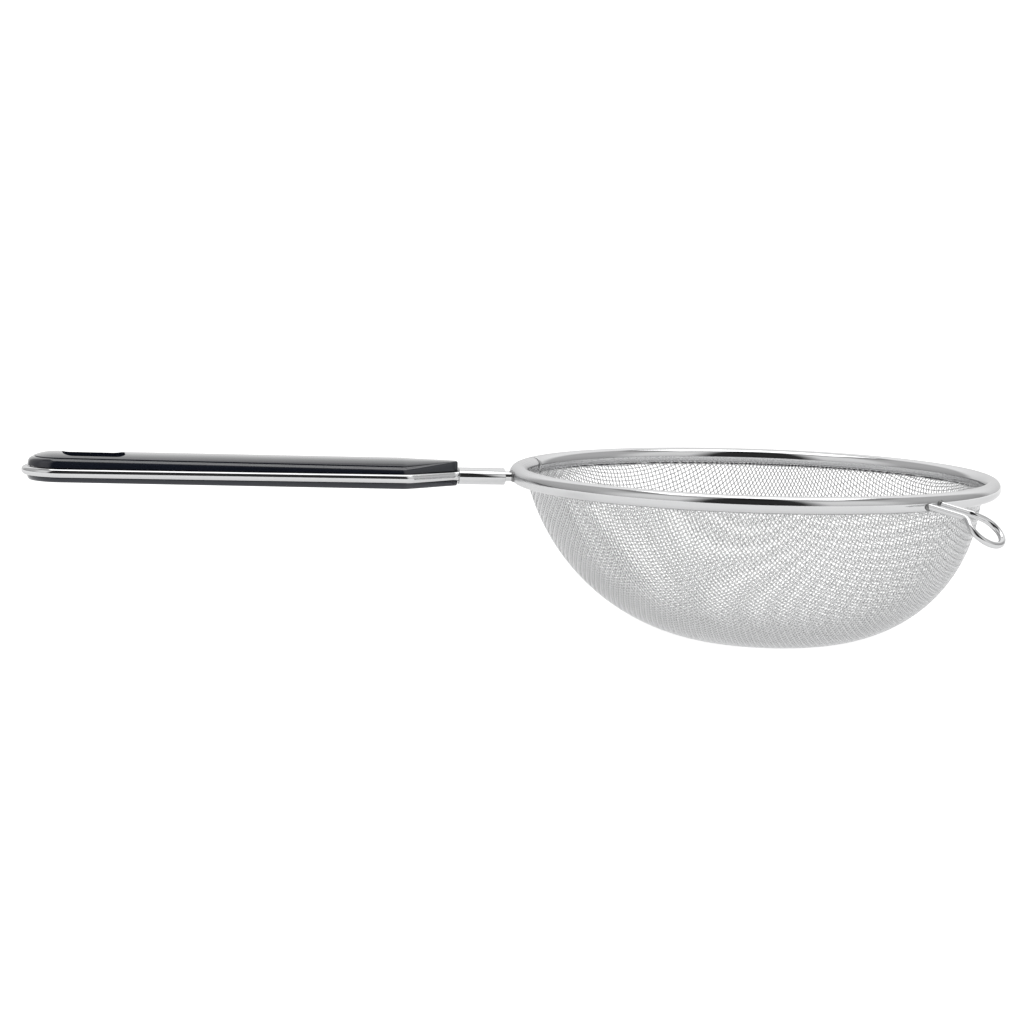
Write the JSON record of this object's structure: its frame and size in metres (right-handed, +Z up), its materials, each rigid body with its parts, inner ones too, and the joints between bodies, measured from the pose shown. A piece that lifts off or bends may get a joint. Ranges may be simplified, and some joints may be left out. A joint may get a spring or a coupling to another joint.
{
  "type": "sieve",
  "caption": "Long-handled kitchen sieve: round wire-mesh bowl in a rolled steel rim, with a wire-framed handle closed by dark plastic scales, and a looped wire rest on the rim.",
  "frame": {"origin": "middle of the small flat at the bottom of the bowl, on its underside", "axes": "+Z up, square to the rim; the handle points along -X; the wire rest is on the +X, -Y side of the rim"},
  "size_m": [0.3976, 0.2015, 0.0738],
  "materials": {
    "polished_steel": "polished stainless steel",
    "mesh_steel": "bright drawn stainless wire, plain weave",
    "black_plastic": "glossy moulded black with a slight blue cast"
  },
  "bodies": {
    "root": {"rim": "polished_steel", "mesh_bowl": "mesh_steel", "handle_wire": "polished_steel", "sleeve": "polished_steel", "upper_scale": "black_plastic", "lower_scale": "black_plastic", "rest_loop": "polished_steel"}
  },
  "joints": []
}
